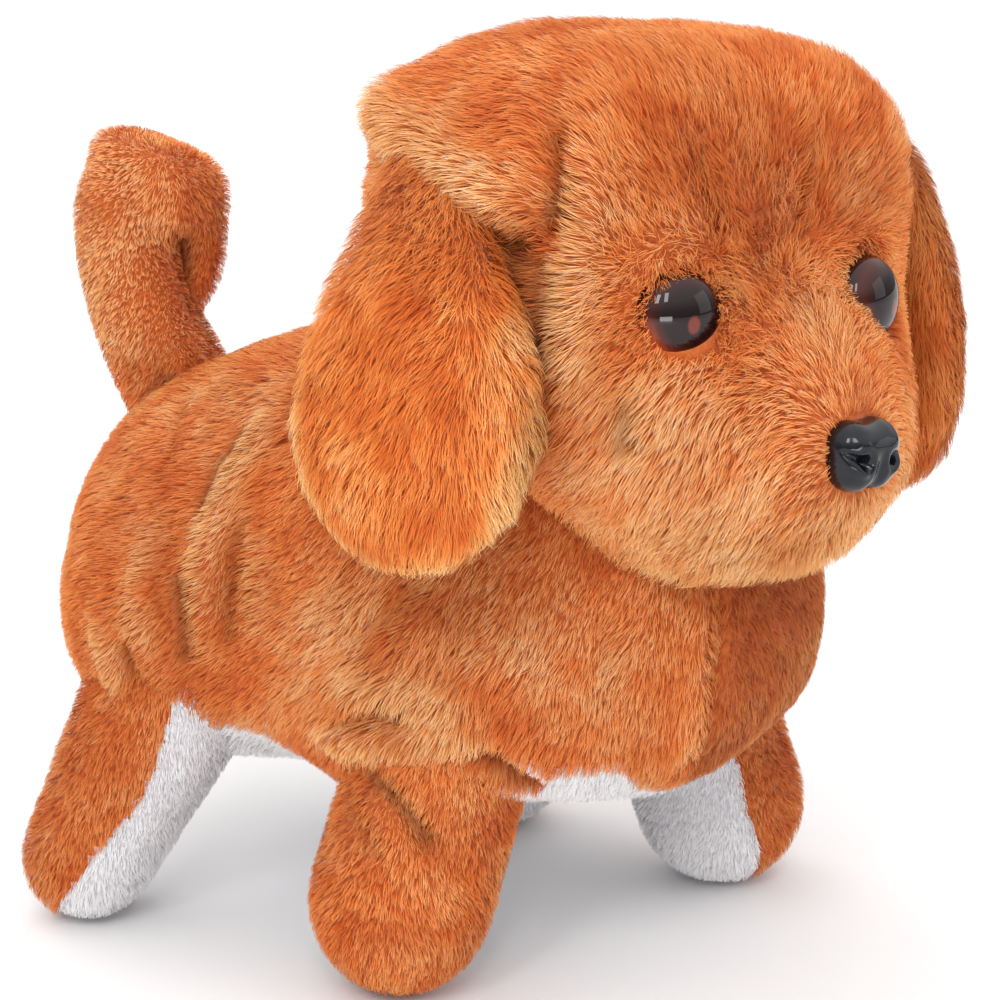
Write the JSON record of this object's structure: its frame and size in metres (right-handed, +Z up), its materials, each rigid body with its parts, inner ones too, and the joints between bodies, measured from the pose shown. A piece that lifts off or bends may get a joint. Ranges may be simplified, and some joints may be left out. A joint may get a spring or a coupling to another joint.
{
  "type": "interactive plush pet",
  "caption": "Walking plush puppy: a sewn plush skin over a geared walking mechanism, with swinging legs, a wagging tail, a turning head and hanging ears.",
  "frame": {"origin": "on the ground plane, under the middle of the object's box", "axes": "+Z up, the puppy faces -Y, its right side is -X"},
  "size_m": [0.139, 0.1926, 0.1804],
  "materials": {
    "plush": "matte",
    "filling": "matte",
    "eye": "gloss",
    "nose": "gloss",
    "housing": "satin",
    "linkage": "satin",
    "gears": "satin",
    "door": "matte",
    "steel": "satin",
    "motor_can": "satin",
    "cell_wrap": "satin",
    "board": "satin",
    "speaker": "satin",
    "wire": "satin"
  },
  "bodies": {
    "body": {"torso_plush": "plush", "chassis_left": "housing", "chassis_right": "housing", "chassis_screw_1": "steel", "chassis_screw_2": "steel", "chassis_screw_3": "steel", "chassis_screw_4": "steel", "front_leg_axle": "steel", "rear_leg_axle": "steel", "motor": "motor_can", "battery_box": "housing", "battery_cell_right": "cell_wrap", "battery_cell_left": "cell_wrap", "contact_plate_front": "steel", "contact_plate_rear": "steel", "contact_spring_front": "steel", "contact_spring_rear": "steel", "power_switch_body": "door", "sound_board": "board", "speaker": "speaker", "speaker_bracket": "housing", "speaker_lead": "wire", "motor_lead": "wire", "neck_post": "housing", "tail_bracket": "housing", "tail_pin": "steel"},
    "head": {"head_plush": "plush", "head_filling": "filling", "neck_socket": "housing", "eye_right": "eye", "eye_left": "eye", "eye_washer_right": "housing", "eye_washer_left": "housing", "nose": "nose", "nose_washer": "housing"},
    "ear_right": {"ear_right": "plush"},
    "ear_left": {"ear_left": "plush"},
    "tail": {"tail_stem": "linkage", "tail_plush": "plush"},
    "right_bar": {"right_coupler_bar": "linkage"},
    "left_bar": {"left_coupler_bar": "linkage"},
    "drive_shaft": {"drive_gear": "gears", "drive_axle": "steel", "left_crank_disc": "linkage", "right_crank_disc": "linkage", "tail_cam": "gears"},
    "second_gear": {"second_reduction_gear": "gears"},
    "first_gear": {"first_reduction_gear": "gears"},
    "motor_shaft": {"motor_pinion": "gears"},
    "battery_door": {"battery_door": "door", "battery_door_screw": "steel"},
    "switch_knob": {"power_switch_knob": "door"},
    "front_right_leg": {"front_right_leg_frame": "linkage", "front_right_leg_plush": "plush"},
    "rear_right_leg": {"rear_right_leg_frame": "linkage", "rear_right_leg_plush": "plush"},
    "front_left_leg": {"front_left_leg_frame": "linkage", "front_left_leg_plush": "plush"},
    "rear_left_leg": {"rear_left_leg_frame": "linkage", "rear_left_leg_plush": "plush"}
  },
  "joints": [
    {"name": "front_right_leg_swing", "type": "hinge", "parent": "body", "child": "front_right_leg", "pos_m": [-0.01885, -0.01975, 0.059], "axis": [-1, 0, 0], "range_deg": [0, 36]},
    {"name": "rear_right_leg_swing", "type": "hinge", "parent": "body", "child": "rear_right_leg", "pos_m": [-0.01885, 0.04225, 0.059], "axis": [-1, 0, 0], "range_deg": [0, 54]},
    {"name": "front_left_leg_swing", "type": "hinge", "parent": "body", "child": "front_left_leg", "pos_m": [0.02815, -0.01975, 0.059], "axis": [-1, 0, 0], "range_deg": [-36, 0]},
    {"name": "rear_left_leg_swing", "type": "hinge", "parent": "body", "child": "rear_left_leg", "pos_m": [0.02815, 0.04225, 0.059], "axis": [-1, 0, 0], "range_deg": [-54, 0]},
    {"name": "right_bar_slide", "type": "slide", "parent": "body", "child": "right_bar", "axis": [0, 1, 0], "range_m": [0, 0.0137]},
    {"name": "left_bar_slide", "type": "slide", "parent": "body", "child": "left_bar", "axis": [0, 1, 0], "range_m": [-0.0137, 0]},
    {"name": "drive_shaft_spin", "type": "hinge", "parent": "body", "child": "drive_shaft", "pos_m": [0.00465, 0.03025, 0.08], "axis": [1, 0, 0], "continuous": true},
    {"name": "second_gear_spin", "type": "hinge", "parent": "body", "child": "second_gear", "pos_m": [0.00465, 0.01585, 0.08], "axis": [1, 0, 0], "continuous": true},
    {"name": "first_gear_spin", "type": "hinge", "parent": "body", "child": "first_gear", "pos_m": [0.00465, 0.00305, 0.08], "axis": [1, 0, 0], "continuous": true},
    {"name": "motor_shaft_spin", "type": "hinge", "parent": "body", "child": "motor_shaft", "pos_m": [0.00465, -0.00975, 0.08], "axis": [1, 0, 0], "continuous": true},
    {"name": "head_turn", "type": "hinge", "parent": "body", "child": "head", "pos_m": [0.00465, -0.01975, 0.11], "axis": [0, 0, 1], "range_deg": [-10, 50]},
    {"name": "ear_right_flap", "type": "hinge", "parent": "head", "child": "ear_right", "pos_m": [-0.04378, -0.02553, 0.16737], "axis": [-0.0344, 0.9992, 0.0196], "range_deg": [0, 55]},
    {"name": "ear_left_flap", "type": "hinge", "parent": "head", "child": "ear_left", "pos_m": [0.04443, -0.05764, 0.16245], "axis": [-0.6686, -0.7433, 0.0196], "range_deg": [0, 55]},
    {"name": "tail_wag", "type": "hinge", "parent": "body", "child": "tail", "pos_m": [0.00465, 0.05725, 0.092], "axis": [0, 0, 1], "range_deg": [-20, 20]},
    {"name": "switch_slide", "type": "slide", "parent": "body", "child": "switch_knob", "axis": [1, 0, 0], "range_m": [0, 0.003]},
    {"name": "battery_door_removal", "type": "slide", "parent": "body", "child": "battery_door", "axis": [0, 0, -1], "range_m": [0, 0.02]}
  ],
  "couplings": [
    {"joint": "rear_right_leg_swing", "follows": "front_right_leg_swing", "ratio": 1.5},
    {"joint": "front_left_leg_swing", "follows": "front_right_leg_swing", "ratio": -1},
    {"joint": "rear_left_leg_swing", "follows": "front_right_leg_swing", "ratio": -1.5},
    {"joint": "right_bar_slide", "follows": "front_right_leg_swing", "m_per_rad": 0.021645},
    {"joint": "left_bar_slide", "follows": "front_right_leg_swing", "m_per_rad": -0.021645},
    {"joint": "drive_shaft_spin", "follows": "second_gear_spin", "ratio": -0.28571},
    {"joint": "first_gear_spin", "follows": "second_gear_spin", "ratio": -3},
    {"joint": "motor_shaft_spin", "follows": "second_gear_spin", "ratio": 9}
  ]
}
